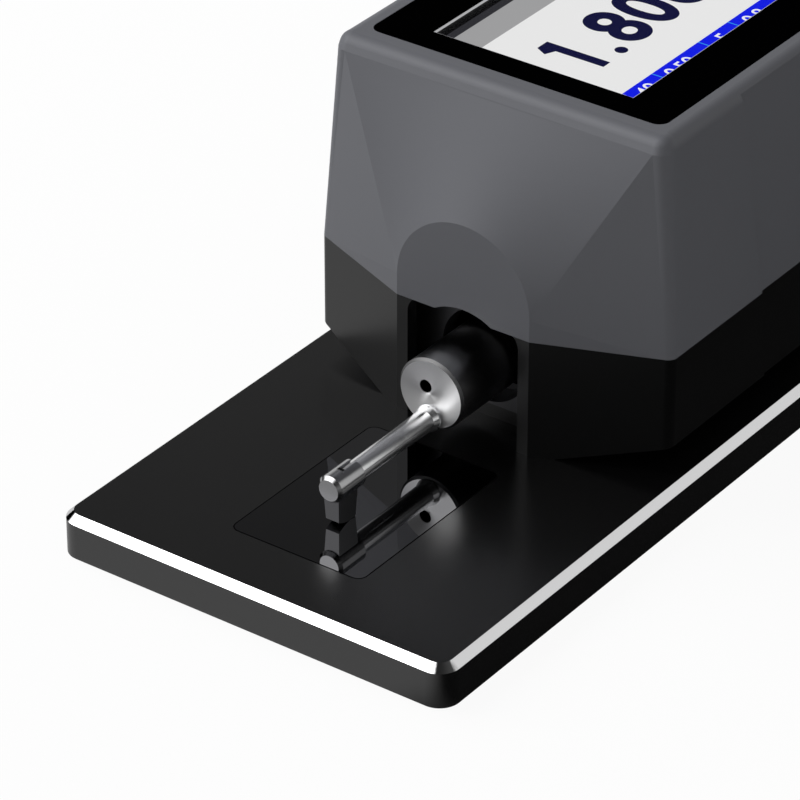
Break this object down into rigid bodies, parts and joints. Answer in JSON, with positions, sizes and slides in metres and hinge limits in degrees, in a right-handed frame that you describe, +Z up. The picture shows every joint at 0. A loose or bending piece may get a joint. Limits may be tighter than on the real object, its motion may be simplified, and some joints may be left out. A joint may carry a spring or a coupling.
{
  "type": "surface roughness tester",
  "caption": "Portable surface roughness tester with a stylus pickup, display and keys, standing on a levelled reference plate with a glass test surface",
  "frame": {"origin": "centre of the base plate's underside, the lowest point of the object", "axes": "+X to the tester's right seen from behind, +Y along the tester from the pickup to the charging socket, +Z up from the plate"},
  "size_m": [0.062, 0.195, 0.0557],
  "materials": {
    "base_plate": "black anodised, fine matte, chamfer polished",
    "reference_glass": "dark polished",
    "lower_housing": "black, fine grain",
    "upper_housing": "dark grey, satin",
    "display_panel": "glossy black",
    "display_window": "clear",
    "display_module": "lit picture area in a dark bezel",
    "main_board": "green solder mask",
    "battery_pack": "silver foil wrap",
    "key_switches": "black",
    "soft_keys": "grey, satin",
    "start_key": "blue, satin",
    "power_key": "red, satin",
    "charging_socket": "bright plated",
    "drive_frame": "dark anodised",
    "guide_rails": "ground and polished",
    "bushes": "bronze, turned",
    "lead_screw": "ground",
    "shaft_coupling": "turned",
    "motor_shaft": "ground",
    "gear_motor": "zinc plated",
    "carriage": "milled",
    "drive_nut": "turned",
    "pickup_holder": "turned",
    "pickup_body": "dark satin, turned face",
    "pickup_stem": "polished steel",
    "pickup_head": "satin steel",
    "skid": "hardened and lapped",
    "stylus_lever": "drawn",
    "stylus_tip": "ground",
    "pivot_pin": "polished",
    "sensor_coil": "copper winding in resin",
    "screws": "black zinc"
  },
  "bodies": {
    "root": {"base_plate": "base_plate", "reference_glass": "reference_glass", "lower_housing": "lower_housing", "upper_housing": "upper_housing", "display_panel": "display_panel", "display_window": "display_window", "display_module": "display_module", "main_board": "main_board", "battery_pack": "battery_pack", "key_switches": "key_switches", "charging_socket": "charging_socket", "drive_frame": "drive_frame", "guide_rails": "guide_rails", "front_bush": "bushes", "rear_bush": "bushes", "gear_motor": "gear_motor", "housing_screws": "screws", "frame_screws": "screws", "board_screws": "screws"},
    "screw": {"lead_screw": "lead_screw", "shaft_coupling": "shaft_coupling", "motor_shaft": "motor_shaft"},
    "carriage": {"carriage": "carriage", "drive_nut": "drive_nut", "pickup_holder": "pickup_holder", "pickup_body": "pickup_body", "pickup_stem": "pickup_stem", "pickup_head": "pickup_head", "skid": "skid", "pivot_pin": "pivot_pin", "sensor_coil": "sensor_coil"},
    "stylus": {"stylus_lever": "stylus_lever", "stylus_tip": "stylus_tip"},
    "left_key": {"left_key": "soft_keys"},
    "menu_key": {"menu_key": "soft_keys"},
    "right_key": {"right_key": "soft_keys"},
    "start_key": {"start_key": "start_key"},
    "power_key": {"power_key": "power_key"}
  },
  "joints": [
    {"name": "traverse", "type": "slide", "parent": "root", "child": "carriage", "axis": [0, 1, 0], "range_m": [0, 0.0175]},
    {"name": "screw_spin", "type": "hinge", "parent": "root", "child": "screw", "pos_m": [0, 0, 0.0267], "axis": [0, 1, 0], "continuous": true},
    {"name": "stylus_rock", "type": "hinge", "parent": "carriage", "child": "stylus", "pos_m": [0, -0.0475, 0.012], "axis": [-1, 0, 0], "range_deg": [0, 0.5], "stiffness_Nm_per_rad": 0.005, "springref_deg": -1.15},
    {"name": "left_press", "type": "slide", "parent": "root", "child": "left_key", "axis": [0, 0, -1], "range_m": [0, 0.0006], "stiffness_N_per_m": 800, "springref_m": -0.0005},
    {"name": "menu_press", "type": "slide", "parent": "root", "child": "menu_key", "axis": [0, 0, -1], "range_m": [0, 0.0006], "stiffness_N_per_m": 800, "springref_m": -0.0005},
    {"name": "right_press", "type": "slide", "parent": "root", "child": "right_key", "axis": [0, 0, -1], "range_m": [0, 0.0006], "stiffness_N_per_m": 800, "springref_m": -0.0005},
    {"name": "start_press", "type": "slide", "parent": "root", "child": "start_key", "axis": [0, 0, -1], "range_m": [0, 0.0006], "stiffness_N_per_m": 800, "springref_m": -0.0005},
    {"name": "power_press", "type": "slide", "parent": "root", "child": "power_key", "axis": [0, 0, -1], "range_m": [0, 0.0006], "stiffness_N_per_m": 800, "springref_m": -0.0005}
  ],
  "couplings": [
    {"joint": "screw_spin", "follows": "traverse", "rad_per_m": 3141.6}
  ]
}
